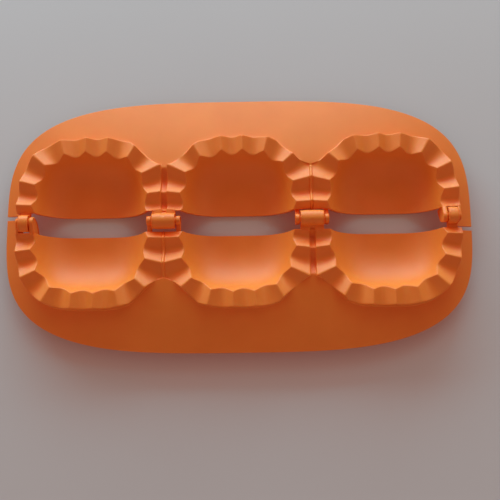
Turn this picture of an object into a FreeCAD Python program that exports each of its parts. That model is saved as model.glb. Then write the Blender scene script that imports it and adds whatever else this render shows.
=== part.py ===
"""Empanada press: two hinged halves with three crimped pockets, lying open and flat."""
import FreeCAD, Part
import math
import os

import Sketcher
from FreeCAD import Placement, Rotation, Vector

doc = FreeCAD.newDocument("EmpanadaPress")

# Driving dimensions, millimetres and degrees
SIZES = {
    "skirt_end_margin": 7.3,
    "skirt_side_margin": 23.0,
    "outline_power": 3.4,
    "wall": 1.8,
    "skirt_drop": 10.2,
    "skirt_step": 1.0,
    "skirt_start_share": 0.43,
    "skirt_curve_power": 1.25,
    "rim_half_width": 31.4,
    "rim_reach": 38.5,
    "rim_power": 3.0,
    "bowl_depth": 16.0,
    "bowl_wall_angle": 31.0,
    "bowl_floor_share": 0.34,
    "free_edge_setback": 5.6,
    "crimp_side_width": 8.1,
    "crimp_far_width": 8.0,
    "crimp_midline_width": 8.0,
    "wave_height": 3.6,
    "wave_count": 10,
    "wave_lead_share": 0.32,
    "wave_line_inset": 2.0,
    "wave_flank_share": 0.5,
    "closing_gap": 0.4,
    "rim_lip": 0.8,
    "valley_tip_reach": 30.5,
    "notch_roundness": 5.5,
    "rib_width": 1.4,
    "rib_top": 1.2,
    "groove_width": 3.2,
    "groove_depth": 3.3,
    "barrel_radius": 4.0,
    "ear_radius": 2.9,
    "outer_ear_radius": 2.3,
    "middle_gusset_depth": 5.5,
    "end_gusset_depth": 12.0,
    "middle_neck_drop": 2.0,
    "pin_radius": 1.6,
    "pin_clearance": 0.05,
    "snap_mouth": 2.4,
    "middle_clip_width": 12.4,
    "end_clip_width": 5.3,
    "end_hinge_inset": 4.8,
    "ear_thickness": 2.4,
    "outer_ear_thickness": 1.3,
    "ear_gap": 0.3,
    "arm_thickness": 2.2,
    "tongue_reach": 3.4,
    "parting_slot": 2.4,
    "skirt_spill_angle": 9,
    "seam": 0.1,
    "overrun": 2.0,
}

sheet = doc.addObject("Spreadsheet::Sheet", "Sizes")
for row, (alias, value) in enumerate(SIZES.items(), start=1):
    sheet.set(f"A{row}", alias)
    sheet.set(f"B{row}", str(value))
    sheet.setAlias(f"B{row}", alias)
doc.recompute()


def size(alias):
    return float(getattr(sheet, alias))


WALL = size("wall")
SEAM = size("seam")
SETBACK = size("free_edge_setback")
OVERRUN = size("overrun")
BOWL_TAN = math.tan(math.radians(size("bowl_wall_angle")))

# Heights are measured from the hinge axis until the last step lifts the part onto its bowls
AXIS_HEIGHT = size("bowl_depth") + WALL
CREST = size("wave_height") / 2 - size("closing_gap") / 2
TROUGH = CREST - size("wave_height")
RIM_LEVEL = TROUGH - size("rim_lip")
LEG_FOOT = min(TROUGH - WALL, -size("groove_depth")) - size("rim_lip")

# Distances in plan from the press's centre and from a pocket's centre
MIDLINE = size("rim_half_width") + size("crimp_midline_width")
PITCH = 2 * MIDLINE
CRIMP_HALF_X = size("rim_half_width") + size("crimp_side_width")
CRIMP_HALF_Y = size("rim_reach") + size("crimp_far_width")
HALF_LENGTH = PITCH + CRIMP_HALF_X + size("skirt_end_margin")
HALF_WIDTH = CRIMP_HALF_Y + size("skirt_side_margin")
END_HINGE = PITCH + CRIMP_HALF_X - size("end_hinge_inset")
TONGUE_X = END_HINGE + size("end_clip_width") / 2 + size("ear_gap") + size("outer_ear_thickness")
GROOVE_GAP = size("groove_width") / 2
RIB_GAP = size("rib_width") / 2 + SEAM

# Steps along curves and halvings of a search
CURVE_STEPS = 1440
OUTLINE_STEPS = 24
BOWL_STEPS = 6
SKIRT_RINGS = 7
SKIRT_STEPS = 48
FLANK_STEPS = 2
TROUGH_STEPS = 4
HALVINGS = 60

# A walk's step as a share of the wall, and the shortest run of a wave as a share of its pitch
WALK_SHARE = 0.25
LEAST_RUN_SHARE = 0.017


def superellipse(half_x, half_y, power, angle):
    """Point of a superellipse in the first two quadrants, angle counted from +X."""
    cos_a = math.cos(angle)
    sin_a = math.sin(angle)
    x = math.copysign(half_x * abs(cos_a) ** (2 / power), cos_a)
    y = math.copysign(half_y * abs(sin_a) ** (2 / power), sin_a)
    return x, y


class Rim:
    """The crest line of one half pocket, addressed by the distance from its left end.

    The distance is measured along a line a little inside the rim, on which the waves are evenly spaced.
    """

    def __init__(self):
        self.half_x = size("rim_half_width")
        self.half_y = size("rim_reach")
        self.power = size("rim_power")
        self.points = [
            superellipse(self.half_x, self.half_y, self.power, math.pi * (1 - i / CURVE_STEPS))
            for i in range(CURVE_STEPS + 1)
        ]
        line = [Vector(*point, 0) - self.normal(*point) * size("wave_line_inset") for point in self.points]
        self.lengths = [0.0]
        for before, after in zip(line, line[1:]):
            self.lengths.append(self.lengths[-1] + before.distanceToPoint(after))
        self.total = self.lengths[-1]

    def normal(self, x, y):
        """Outward direction, square to the rim, at a plan point of it."""
        slope_x = math.copysign((abs(x) / self.half_x) ** (self.power - 1) / self.half_x, x)
        slope_y = (y / self.half_y) ** (self.power - 1) / self.half_y
        return Vector(slope_x, slope_y, 0).normalize()

    def at(self, distance):
        """Plan point and outward normal at a distance along the rim."""
        low = 0
        high = len(self.lengths) - 1
        while high - low > 1:
            middle = (low + high) // 2
            if self.lengths[middle] <= distance:
                low = middle
            else:
                high = middle
        share = (distance - self.lengths[low]) / (self.lengths[high] - self.lengths[low])
        x = self.points[low][0] + share * (self.points[high][0] - self.points[low][0])
        y = self.points[low][1] + share * (self.points[high][1] - self.points[low][1])
        return Vector(x, y, 0), self.normal(x, y)

    def distance_at_setback(self):
        """Distance along the rim at which it crosses the free edge's plane."""
        for point, length in zip(self.points, self.lengths):
            if point[1] >= SETBACK:
                return length
        return 0.0


RIM = Rim()
START = RIM.distance_at_setback()
WAVE_SPANS = size("wave_count") - 1 + 2 * size("wave_lead_share") + 0.5
WAVE_PITCH = RIM.total / WAVE_SPANS
SHORT_LEAD = size("wave_lead_share") * WAVE_PITCH
LONG_LEAD = SHORT_LEAD + WAVE_PITCH / 2


def wave_level(distance, first_crest):
    """Height of the crimp: straight flanks from a sharp crest to a rounded trough."""
    phase = abs((distance - first_crest) / WAVE_PITCH - round((distance - first_crest) / WAVE_PITCH)) * 2
    flank = size("wave_flank_share")
    round_share = 1 - flank
    slope = 1 / (1 - round_share / 2)
    if phase <= flank:
        fall = slope * phase
    else:
        fall = 1 - slope * (1 - phase) ** 2 / (2 * round_share)
    return CREST - size("wave_height") * fall


def skirt_level(x, y):
    """Height of the skirt's upper face, from the share of the outline that a point lies at."""
    power = size("outline_power")
    share_x = abs(x) / HALF_LENGTH
    share_y = abs(y) / HALF_WIDTH
    share = (share_x ** power + share_y ** power) ** (1 / power)
    start = size("skirt_start_share")
    fall = (max(share - start, 0) / (1 - start)) ** size("skirt_curve_power")
    return -size("skirt_step") - (size("skirt_drop") - size("skirt_step")) * fall


def outer_level(x, y):
    """Below 1 inside the crimp's outer edge, counted from the pocket's centre."""
    power = size("rim_power")
    return (abs(x) / CRIMP_HALF_X) ** power + (abs(y) / CRIMP_HALF_Y) ** power


def crimp_covers(x, y, beside_pocket):
    """True inside the crimp's edge; beside a pocket also in the web between both, up to the notch's curve."""
    inside = outer_level(x, y) < 1
    if not beside_pocket:
        return inside
    roundness = size("notch_roundness")
    notch_edge = size("valley_tip_reach") + math.hypot(MIDLINE - abs(x), roundness) - roundness
    return y < notch_edge and (inside or abs(x) > size("rim_half_width"))


def crimp_reach(point, normal, gap_left, gap_right):
    """Width of the crimp along a normal, and whether it ends at a midline between pockets."""
    gap = gap_right if normal.x > 0 else gap_left
    step = WALL * WALK_SHARE
    high = step
    while high < HALF_WIDTH:
        place = point + normal * high
        if abs(place.x) > MIDLINE + WALL or not crimp_covers(place.x, place.y, gap is not None):
            break
        high += step
    low = high - step
    for _ in range(HALVINGS):
        middle = (low + high) / 2
        place = point + normal * middle
        if crimp_covers(place.x, place.y, gap is not None):
            low = middle
        else:
            high = middle
    if gap is not None:
        to_midline = MIDLINE - gap - abs(point.x)
        if to_midline <= low * abs(normal.x):
            return to_midline / abs(normal.x), True
    return low, False


def notch_distances(gap_left, gap_right):
    """Distances along the rim whose normals meet the corner of a midline and its notch."""
    found = []
    for gap, start, stop in (
        (gap_left, START, RIM.total / 2),
        (gap_right, RIM.total - START, RIM.total / 2),
    ):
        if gap is None:
            continue
        for _ in range(HALVINGS):
            middle = (start + stop) / 2
            if crimp_reach(*RIM.at(middle), gap_left, gap_right)[1]:
                start = middle
            else:
                stop = middle
        found.append(start)
    return found


def stations(first_crest, gap_left, gap_right):
    """Distances along the rim in runs, one for each straight flank and each round trough."""
    flank = size("wave_flank_share") * WAVE_PITCH / 2
    stop = RIM.total - START
    breaks = notch_distances(gap_left, gap_right)
    runs = []
    for i in range(-1, int(size("wave_count")) + 1):
        crest = first_crest + i * WAVE_PITCH
        runs.append((crest, crest + flank, FLANK_STEPS))
        runs.append((crest + flank, crest + WAVE_PITCH - flank, TROUGH_STEPS))
        runs.append((crest + WAVE_PITCH - flank, crest + WAVE_PITCH, FLANK_STEPS))
    least = WAVE_PITCH * LEAST_RUN_SHARE
    clipped = []
    for low, high, steps in runs:
        marks = [max(low, START)] + sorted(b for b in breaks if low < b < high) + [min(high, stop)]
        for before, after in zip(marks, marks[1:]):
            if after - before > least:
                clipped.append([before, after, steps])
    clipped[0][0] = START
    clipped[-1][1] = stop
    for before, after in zip(clipped, clipped[1:]):
        after[0] = before[1]
    return [[low + (high - low) * i / steps for i in range(steps + 1)] for low, high, steps in clipped]


def crimp_section(distance, first_crest, centre_x, gap_left, gap_right):
    """The eight corners of the crimp's section at one station."""
    point, normal = RIM.at(distance)
    level = wave_level(distance, first_crest)
    reach, at_midline = crimp_reach(point, normal, gap_left, gap_right)
    outer = point + normal * reach
    if at_midline:
        foot = LEG_FOOT
    else:
        foot = min(skirt_level(outer.x + centre_x, outer.y) - WALL, LEG_FOOT)
    rim_back = -(CREST - RIM_LEVEL) * BOWL_TAN
    under_back = max(-(CREST - level + WALL) * BOWL_TAN + WALL, rim_back + WALL + SEAM)
    corners = [
        (reach, level),
        (-(CREST - level) * BOWL_TAN, level),
        (rim_back, RIM_LEVEL),
        (rim_back + WALL, RIM_LEVEL),
        (under_back, level - WALL),
        (reach - WALL, level - WALL),
        (reach - WALL, foot),
        (reach, foot),
    ]
    return [point + normal * along + Vector(centre_x, 0, up) for along, up in corners]


def curve_through(points):
    curve = Part.BSplineCurve()
    curve.interpolate(Points=points, Parameters=[float(i) for i in range(len(points))])
    return curve


def ruled_face(curve, other):
    """Face swept by the straight line between equal parameters of two curves."""
    surface = Part.BSplineSurface()
    surface.buildFromPolesMultsKnots(
        [curve.getPoles(), other.getPoles()],
        [2, 2],
        curve.getMultiplicities(),
        [0.0, 1.0],
        curve.getKnots(),
        False,
        False,
        1,
        curve.Degree,
    )
    return surface.toShape()


def crimp_shape(first_crest, centre_x, gap_left, gap_right):
    """Corrugated rim of one half pocket, with its sloped inner wall and its outer leg."""
    faces = []
    for run in stations(first_crest, gap_left, gap_right):
        sections = [crimp_section(d, first_crest, centre_x, gap_left, gap_right) for d in run]
        curves = [curve_through(corner_line) for corner_line in zip(*sections)]
        for curve, following in zip(curves, curves[1:] + curves[:1]):
            faces.append(ruled_face(curve, following))
    for distance in (START, RIM.total - START):
        corners = crimp_section(distance, first_crest, centre_x, gap_left, gap_right)
        faces.append(Part.Face(Part.makePolygon(corners + corners[:1])))
    shell = Part.makeShell(faces)
    shell.sewShape()
    solid = Part.Solid(shell)
    if solid.Volume < 0:
        solid.reverse()
    return solid


def half_outline(half_x, half_y, power, cut_y, level):
    """Closed wire: the part of a superellipse beyond a cut line, and the cut line."""
    start_angle = math.asin(min(cut_y / half_y, 1) ** (power / 2))
    points = []
    for i in range(OUTLINE_STEPS + 1):
        angle = start_angle + (math.pi - 2 * start_angle) * i / OUTLINE_STEPS
        x, y = superellipse(half_x, half_y, power, angle)
        points.append(Vector(x, y, level))
    curve = Part.BSplineCurve()
    curve.interpolate(points)
    return Part.Wire([curve.toShape(), Part.LineSegment(points[-1], points[0]).toShape()])


def bowl_solid(grow, drop, cut_y, lift):
    """Loft down the bowl, grown by a wall, cut at a plane and raised past its rim by a lift."""
    top_inset = (CREST - RIM_LEVEL) * BOWL_TAN
    half_x = size("rim_half_width") - top_inset
    half_y = size("rim_reach") - top_inset
    depth = size("bowl_depth") + RIM_LEVEL
    floor = size("bowl_floor_share")
    # The profile is a quarter of an ellipse whose centre lies above the rim, so the wall starts sloped
    above = depth * BOWL_TAN
    wires = []
    if lift:
        wires.append(half_outline(half_x + grow + lift * BOWL_TAN, half_y + grow + lift * BOWL_TAN,
                                  size("rim_power"), cut_y, RIM_LEVEL + lift))
    for i in range(BOWL_STEPS + 1):
        turn = math.pi / 2 * i / BOWL_STEPS
        fall = math.sin(turn)
        depth_share = (above + depth * fall) / (above + depth)
        top_share = math.sqrt(1 - (above / (above + depth)) ** 2)
        share = math.sqrt(max(1 - depth_share ** 2, 0)) / top_share
        share = floor + (1 - floor) * share
        level = RIM_LEVEL - (depth + drop) * fall
        wires.append(half_outline(half_x * share + grow, half_y * share + grow,
                                  size("rim_power"), cut_y, level))
    return Part.makeLoft(wires, True, False)


def pocket_shape(centre_x):
    """Thin half bowl below one crimp, open at its straight free edge."""
    outer = bowl_solid(WALL, WALL, SETBACK, 0)
    inner = bowl_solid(0, 0, SETBACK - OVERRUN, OVERRUN)
    shape = outer.cut(inner)
    shape.translate(Vector(centre_x, 0, 0))
    return shape


def skirt_hole_edges():
    """Outline of the three crimps, a seam larger, from the left end to the right end."""
    edges = []
    last = None
    for index, (first_crest, gap_left, gap_right) in enumerate(POCKET_PLAN):
        centre_x = (index - 1) * PITCH
        for run in stations(first_crest, gap_left, gap_right):
            middle = (run[0] + run[-1]) / 2
            if crimp_reach(*RIM.at(middle), gap_left, gap_right)[1]:
                continue
            places = []
            for distance in run:
                point, normal = RIM.at(distance)
                reach = crimp_reach(point, normal, gap_left, gap_right)[0]
                place = point + normal * (reach + SEAM)
                places.append(Vector(place.x + centre_x, place.y, 0))
            if last is not None and (places[0] - last).Length > SEAM / 2:
                edges.append(Part.LineSegment(last, places[0]).toShape())
            elif last is not None:
                places[0] = last
            edges.append(curve_through(places).toShape())
            last = places[-1]
    return edges


def skirt_thirds():
    """Sloping flange around the crimps in three lengths, with a tongue past the hinge line."""
    rows = []
    start = size("skirt_start_share")
    spill = math.radians(size("skirt_spill_angle"))
    for ring in range(SKIRT_RINGS + 1):
        share = start + (1 - start) * ring / SKIRT_RINGS
        row = []
        for i in range(SKIRT_STEPS + 1):
            angle = -spill + (math.pi + 2 * spill) * i / SKIRT_STEPS
            x, y = superellipse(HALF_LENGTH * share, HALF_WIDTH * share, size("outline_power"), angle)
            row.append(Vector(x, y, skirt_level(x, y)))
        rows.append(row)
    surface = Part.BSplineSurface()
    surface.interpolate(rows)
    plate = surface.toShape().extrude(Vector(0, 0, -WALL))
    far_x = HALF_LENGTH + OVERRUN
    far_y = HALF_WIDTH + OVERRUN
    slot_y = size("tongue_reach") + size("parting_slot")
    corners = [
        Vector(-far_x, slot_y, 0),
        Vector(-far_x, far_y, 0),
        Vector(far_x, far_y, 0),
        Vector(far_x, -size("tongue_reach"), 0),
        Vector(TONGUE_X, -size("tongue_reach"), 0),
        Vector(TONGUE_X, slot_y, 0),
    ]
    tall = size("skirt_drop") + WALL + OVERRUN
    footprint = Part.Face(Part.makePolygon(corners + corners[:1]))
    footprint.translate(Vector(0, 0, -tall))
    plate = plate.common(footprint.extrude(Vector(0, 0, tall + OVERRUN)))
    hole = skirt_hole_edges()
    first = hole[0].firstVertex(True).Point
    last = hole[-1].lastVertex(True).Point
    below = [
        last,
        Vector(TONGUE_X, last.y, 0),
        Vector(TONGUE_X, -far_y, 0),
        Vector(first.x, -far_y, 0),
        first,
    ]
    hole_face = Part.Face(Part.Wire(hole + Part.makePolygon(below).Edges))
    hole_face.translate(Vector(0, 0, -tall))
    skirt = plate.cut(hole_face.extrude(Vector(0, 0, tall + OVERRUN)))
    thirds = []
    cuts = [-far_x, -MIDLINE, MIDLINE, far_x]
    for low_x, high_x in zip(cuts, cuts[1:]):
        block = Part.makeBox(high_x - low_x, 2 * far_y, tall + OVERRUN, Vector(low_x, -far_y, -tall))
        thirds.append(skirt.common(block))
    return thirds


# The rear half's pockets from left to right: the first crest's distance along the rim, and the gap
# left at the midline on each side for the groove or the rib, where there is a neighbour
POCKET_PLAN = [
    (LONG_LEAD, None, GROOVE_GAP),
    (SHORT_LEAD, GROOVE_GAP, RIB_GAP),
    (LONG_LEAD, RIB_GAP, None),
]

sub_parts = []


def place_half(obj, half):
    """Lift a sub-part onto the bowls' height, and turn the front half's half a turn about Z."""
    turn = Rotation(Vector(0, 0, 1), 180 if half == "front" else 0)
    obj.Placement = Placement(Vector(0, 0, AXIS_HEIGHT), turn).multiply(obj.Placement)
    sub_parts.append(obj)


def add_shape(name, half, shape):
    obj = doc.addObject("Part::Feature", name)
    obj.Label = name
    obj.Shape = shape
    place_half(obj, half)


def add_box(name, corner, length, width, height):
    """Block with one corner given; its three sizes are expressions of the sheet."""
    box = doc.addObject("Part::Box", name)
    for prop, formula in (("Length", length), ("Width", width), ("Height", height)):
        box.setExpression(prop, formula)
    box.Placement = Placement(corner, Rotation())
    return box


def add_round(name, start_x, radius, length):
    """Cylinder along X on the hinge axis."""
    cylinder = doc.addObject("Part::Cylinder", name)
    cylinder.setExpression("Radius", radius)
    cylinder.setExpression("Height", length)
    cylinder.Placement = Placement(Vector(start_x, 0, 0), Rotation(Vector(0, 1, 0), 90))
    return cylinder


def add_boolean(kind, name, base, tool):
    obj = doc.addObject(kind, name)
    obj.Base = base
    obj.Tool = tool
    return obj


def add_clip(name, half, centre_x, width_alias, arm_level):
    """Snap-on barrel with an arm back to the crimps, a bore for the pin and a mouth below."""
    start_x = centre_x - size(width_alias) / 2
    width = f"Sizes.{width_alias}"
    barrel = add_round(f"{name}_barrel", start_x, "Sizes.barrel_radius", width)
    arm = add_box(f"{name}_arm", Vector(start_x, 0, arm_level - size("arm_thickness")),
                  width, "Sizes.free_edge_setback", "Sizes.arm_thickness")
    bore = add_round(f"{name}_bore", start_x, "Sizes.pin_radius + Sizes.pin_clearance", width)
    mouth = add_box(f"{name}_mouth", Vector(start_x, -size("snap_mouth") / 2, -size("barrel_radius")),
                    width, "Sizes.snap_mouth", "Sizes.barrel_radius")
    solid = add_boolean("Part::Fuse", f"{name}_solid", barrel, arm)
    hollow = add_boolean("Part::Fuse", f"{name}_hollow", bore, mouth)
    clip = add_boolean("Part::Cut", name, solid, hollow)
    clip.Label = name
    place_half(clip, half)


def add_ear(name, half, start_x, top_level, depth_alias):
    """Round ear that holds one end of the pin, with a full gusset that deepens back to the crimps."""
    disc = add_round(f"{name}_disc", start_x, "Sizes.ear_radius", "Sizes.ear_thickness")
    gusset = doc.addObject("Part::Wedge", f"{name}_gusset")
    gusset.Xmin = 0
    gusset.X2min = 0
    gusset.Ymin = 0
    gusset.Zmax = 0
    gusset.Z2max = top_level
    for prop, formula in (
        ("Xmax", "Sizes.ear_thickness"),
        ("X2max", "Sizes.ear_thickness"),
        ("Ymax", "Sizes.free_edge_setback + Sizes.ear_radius / 2"),
        ("Zmin", f"-Sizes.{depth_alias} / 2"),
        ("Z2min", f"-Sizes.{depth_alias}"),
    ):
        gusset.setExpression(prop, formula)
    gusset.Placement = Placement(Vector(start_x, -size("ear_radius") / 2, 0), Rotation())
    ear = add_boolean("Part::Fuse", name, disc, gusset)
    ear.Label = name
    place_half(ear, half)


def add_tongue_ear(name, half, start_x):
    """Thin ear of the end hinge, standing on the tongue along its whole reach."""
    disc = add_round(f"{name}_disc", start_x, "Sizes.outer_ear_radius", "Sizes.outer_ear_thickness")
    foot_level = skirt_level(TONGUE_X, 0) - WALL
    leg = doc.addObject("Part::Box", f"{name}_leg")
    leg.setExpression("Length", "Sizes.outer_ear_thickness")
    leg.setExpression("Width", "Sizes.outer_ear_radius + Sizes.free_edge_setback")
    leg.Height = -foot_level
    leg.Placement = Placement(Vector(start_x, -size("outer_ear_radius"), foot_level), Rotation())
    ear = add_boolean("Part::Fuse", name, disc, leg)
    ear.Label = name
    place_half(ear, half)


def plane_of(body, role):
    return next(item for item in body.Origin.OriginFeatures if item.Role == role)


def add_pin(name, half, centre_x, width_alias):
    """Round bar between two ears."""
    body = doc.addObject("PartDesign::Body", name)
    body.Label = name
    sketch = body.newObject("Sketcher::SketchObject", f"{name}_circle")
    sketch.AttachmentSupport = [(plane_of(body, "YZ_Plane"), "")]
    sketch.MapMode = "FlatFace"
    sketch.addGeometry(Part.Circle(Vector(0, 0, 0), Vector(0, 0, 1), size("pin_radius")), False)
    sketch.addConstraint(Sketcher.Constraint("Coincident", 0, 3, -1, 1))
    radius = sketch.addConstraint(Sketcher.Constraint("Radius", 0, size("pin_radius")))
    sketch.setExpression(f"Constraints[{radius}]", "Sizes.pin_radius")
    pad = body.newObject("PartDesign::Pad", f"{name}_pad")
    pad.Profile = sketch
    pad.setExpression("Length", f"Sizes.{width_alias} + 2 * Sizes.ear_gap")
    start_x = centre_x - size(width_alias) / 2 - size("ear_gap")
    body.Placement = Placement(Vector(start_x, 0, 0), Rotation())
    place_half(body, half)


def add_bar(name, half, centre_x, width, bottom, top):
    """Upright bar along the midline between two pockets: a seal rib, or the floor of its groove."""
    body = doc.addObject("PartDesign::Body", name)
    body.Label = name
    sketch = body.newObject("Sketcher::SketchObject", f"{name}_side")
    sketch.AttachmentSupport = [(plane_of(body, "YZ_Plane"), "")]
    sketch.MapMode = "FlatFace"
    near = SETBACK
    far = size("valley_tip_reach") - SEAM
    corners = [(near, bottom), (far, bottom), (far, top), (near, top)]
    for i in range(4):
        start = Vector(*corners[i], 0)
        end = Vector(*corners[(i + 1) % 4], 0)
        sketch.addGeometry(Part.LineSegment(start, end), False)
    for i in range(4):
        sketch.addConstraint(Sketcher.Constraint("Coincident", i, 2, (i + 1) % 4, 1))
        sketch.addConstraint(Sketcher.Constraint("Vertical" if i % 2 else "Horizontal", i))
    near_rule = sketch.addConstraint(Sketcher.Constraint("DistanceX", -1, 1, 0, 1, near))
    sketch.setExpression(f"Constraints[{near_rule}]", "Sizes.free_edge_setback")
    far_rule = sketch.addConstraint(Sketcher.Constraint("DistanceX", -1, 1, 0, 2, far))
    sketch.setExpression(f"Constraints[{far_rule}]", "Sizes.valley_tip_reach - Sizes.seam")
    sketch.addConstraint(Sketcher.Constraint("DistanceY", 0, 1, -1, 1, -bottom))
    sketch.addConstraint(Sketcher.Constraint("DistanceY", 0, 1, 2, 2, top - bottom))
    pad = body.newObject("PartDesign::Pad", f"{name}_pad")
    pad.Profile = sketch
    pad.setExpression("Length", width)
    doc.recompute()
    body.Placement = Placement(Vector(centre_x - pad.Length.Value / 2, 0, 0), Rotation())
    place_half(body, half)


def add_half(half):
    """All the regions of one moulded half; names go by the side that each ends up on."""
    sides = ["left", "centre", "right"]
    if half == "front":
        sides.reverse()
    for index, side in enumerate(sides):
        for region in ("skirt", "pocket", "crimp"):
            add_shape(f"{half}_{region}_{side}", half, SHAPES[region][index])
    short_level = wave_level(START, SHORT_LEAD)
    long_level = wave_level(START, LONG_LEAD)
    add_clip(f"{half}_end_clip", half, -END_HINGE, "end_clip_width", long_level)
    add_clip(f"{half}_middle_clip", half, -MIDLINE, "middle_clip_width", short_level)
    for place, centre_x, level in (
        ("middle", MIDLINE, long_level - size("middle_neck_drop")),
        ("end", END_HINGE, short_level),
    ):
        half_width = size(f"{place}_clip_width") / 2 + size("ear_gap")
        depth_alias = f"{place}_gusset_depth"
        inner_x = centre_x - half_width - size("ear_thickness")
        add_ear(f"{half}_{place}_inner_ear", half, inner_x, level, depth_alias)
        if place == "middle":
            add_ear(f"{half}_{place}_outer_ear", half, centre_x + half_width, level, depth_alias)
        else:
            add_tongue_ear(f"{half}_{place}_outer_ear", half, centre_x + half_width)
        add_pin(f"{half}_{place}_pin", half, centre_x, f"{place}_clip_width")
    add_bar(f"{half}_seal_rib", half, MIDLINE, "Sizes.rib_width", LEG_FOOT, size("rib_top"))
    add_bar(f"{half}_seal_groove", half, -MIDLINE, "Sizes.groove_width - 2 * Sizes.seam",
            LEG_FOOT, -size("groove_depth"))


SHAPES = {"skirt": skirt_thirds(), "pocket": [], "crimp": []}
for index, (lead, gap_left, gap_right) in enumerate(POCKET_PLAN):
    centre_x = (index - 1) * PITCH
    SHAPES["pocket"].append(pocket_shape(centre_x))
    SHAPES["crimp"].append(crimp_shape(lead, centre_x, gap_left, gap_right))
for half in ("rear", "front"):
    add_half(half)

doc.recompute()
for obj in doc.Objects:
    if "Invalid" in obj.State or "Error" in obj.State:
        raise RuntimeError(f"{obj.Label} failed: {obj.State}")
os.makedirs("parts", exist_ok=True)
for obj in sub_parts:
    if obj.Shape.isNull() or not obj.Shape.isValid():
        raise RuntimeError(f"{obj.Label} has no valid shape")
    obj.Shape.exportStep(f"parts/{obj.Label}.step")
    print(obj.Label, len(obj.Shape.Solids), round(obj.Shape.Volume, 1))
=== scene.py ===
"""Looks of the open empanada press: two moulded halves, hinges, plastic, table, light and camera."""

import math

import bmesh
import bpy
import numpy as np
from mathutils import Matrix, Vector


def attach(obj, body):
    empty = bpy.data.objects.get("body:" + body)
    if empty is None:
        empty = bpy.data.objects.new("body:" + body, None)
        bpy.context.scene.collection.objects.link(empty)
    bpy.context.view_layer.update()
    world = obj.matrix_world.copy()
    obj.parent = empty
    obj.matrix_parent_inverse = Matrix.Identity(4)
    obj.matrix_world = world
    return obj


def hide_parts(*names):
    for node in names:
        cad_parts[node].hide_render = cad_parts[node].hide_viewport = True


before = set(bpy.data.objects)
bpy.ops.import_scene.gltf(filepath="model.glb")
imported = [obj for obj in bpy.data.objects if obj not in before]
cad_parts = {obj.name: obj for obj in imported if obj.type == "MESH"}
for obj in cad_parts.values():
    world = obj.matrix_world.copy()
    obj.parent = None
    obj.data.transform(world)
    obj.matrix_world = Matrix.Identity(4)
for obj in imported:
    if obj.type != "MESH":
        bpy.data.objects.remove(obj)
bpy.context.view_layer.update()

MM = 0.001

# Sizes of the press in millimetres and degrees, the same as the solids'
OUTLINE_POWER = 3.4
WALL = 1.8
SKIRT_DROP = 10.2
SKIRT_STEP = 1.0
SKIRT_START = 0.43
SKIRT_CURVE = 1.25
SKIRT_END_MARGIN = 7.3
SKIRT_SIDE_MARGIN = 23.0
RIM_HALF_WIDTH = 31.4
RIM_REACH = 38.5
RIM_POWER = 3.0
BOWL_DEPTH = 16.0
BOWL_FLOOR = 0.34
SETBACK = 5.6
CRIMP_SIDE = 8.1
CRIMP_FAR = 8.0
CRIMP_MIDLINE = 8.0
WAVE_HEIGHT = 3.6
WAVE_COUNT = 10
WAVE_LEAD = 0.32
WAVE_LINE_INSET = 2.0
WAVE_FLANK = 0.5
CLOSING_GAP = 0.4
RIM_LIP = 0.8
VALLEY_TIP = 30.5
NOTCH_ROUNDNESS = 5.5
RIB_WIDTH = 1.4
GROOVE_WIDTH = 3.2
BARREL_RADIUS = 4.0
EAR_RADIUS = 2.9
OUTER_EAR_RADIUS = 2.3
MIDDLE_GUSSET = 5.5
END_GUSSET = 12.0
MIDDLE_NECK_DROP = 2.0
BORE_RADIUS = 1.65
SNAP_MOUTH = 2.4
MIDDLE_CLIP = 12.4
END_CLIP = 5.3
END_INSET = 4.8
EAR_THICKNESS = 2.4
OUTER_EAR_THICKNESS = 1.3
EAR_GAP = 0.3
ARM_THICKNESS = 2.2
TONGUE_REACH = 3.4
PARTING_SLOT = 2.4
BOWL_TAN = math.tan(math.radians(31))
SLOT_DEPTH = 1.0
GROOVE_EXTRA_DEPTH = 1.1

AXIS_HEIGHT = BOWL_DEPTH + WALL
CREST = WAVE_HEIGHT / 2 - CLOSING_GAP / 2
TROUGH = CREST - WAVE_HEIGHT
RIM_LEVEL = TROUGH - RIM_LIP
MIDLINE = RIM_HALF_WIDTH + CRIMP_MIDLINE
PITCH = 2 * MIDLINE
CRIMP_HALF_X = RIM_HALF_WIDTH + CRIMP_SIDE
CRIMP_HALF_Y = RIM_REACH + CRIMP_FAR
HALF_LENGTH = PITCH + CRIMP_HALF_X + SKIRT_END_MARGIN
HALF_WIDTH = CRIMP_HALF_Y + SKIRT_SIDE_MARGIN
END_HINGE = PITCH + CRIMP_HALF_X - END_INSET
TONGUE_X = END_HINGE + END_CLIP / 2 + EAR_GAP + OUTER_EAR_THICKNESS
GROOVE_GAP = GROOVE_WIDTH / 2
RIB_GAP = RIB_WIDTH / 2

# Looks only: small roundings in millimetres, and how far pieces reach into each other
CREST_ROUND = 0.55
INNER_ROUND = 0.4
OUTER_ROUND = 0.7
FOOT_ROUND = 0.6
EDGE_BEVEL = 0.3
GROOVE_ROUND = 1.25
SLOT_ROUND = 0.35
RIB_SIDE_ROUND = 0.25
EDGE_DROP = 0.5
EDGE_DROP_SHARE = 0.45
UNDER_LEAN = 1.15
UNDER_LEAST = 1.05
TIP_BLEND = 3.0
GROOVE_RUN_OUT = 4.0
SEATING = 0.7
END_EAR_SEATING = 0.3
ROOF_EXTRA = 0.9
PART_ROUND = 0.35
EAR_ROUND = 0.4
EAR_ROUND_SHARE = 0.3
MIDDLE_NOSE = 2.5
EAR_CORNER = 1.3
MIDDLE_OVAL = 1.12
END_OVAL = 1.27

# The tongue's inner corner, as drops below the setback
TONGUE_HALFWAY = 0.25
TONGUE_CORNER = 0.6

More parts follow.
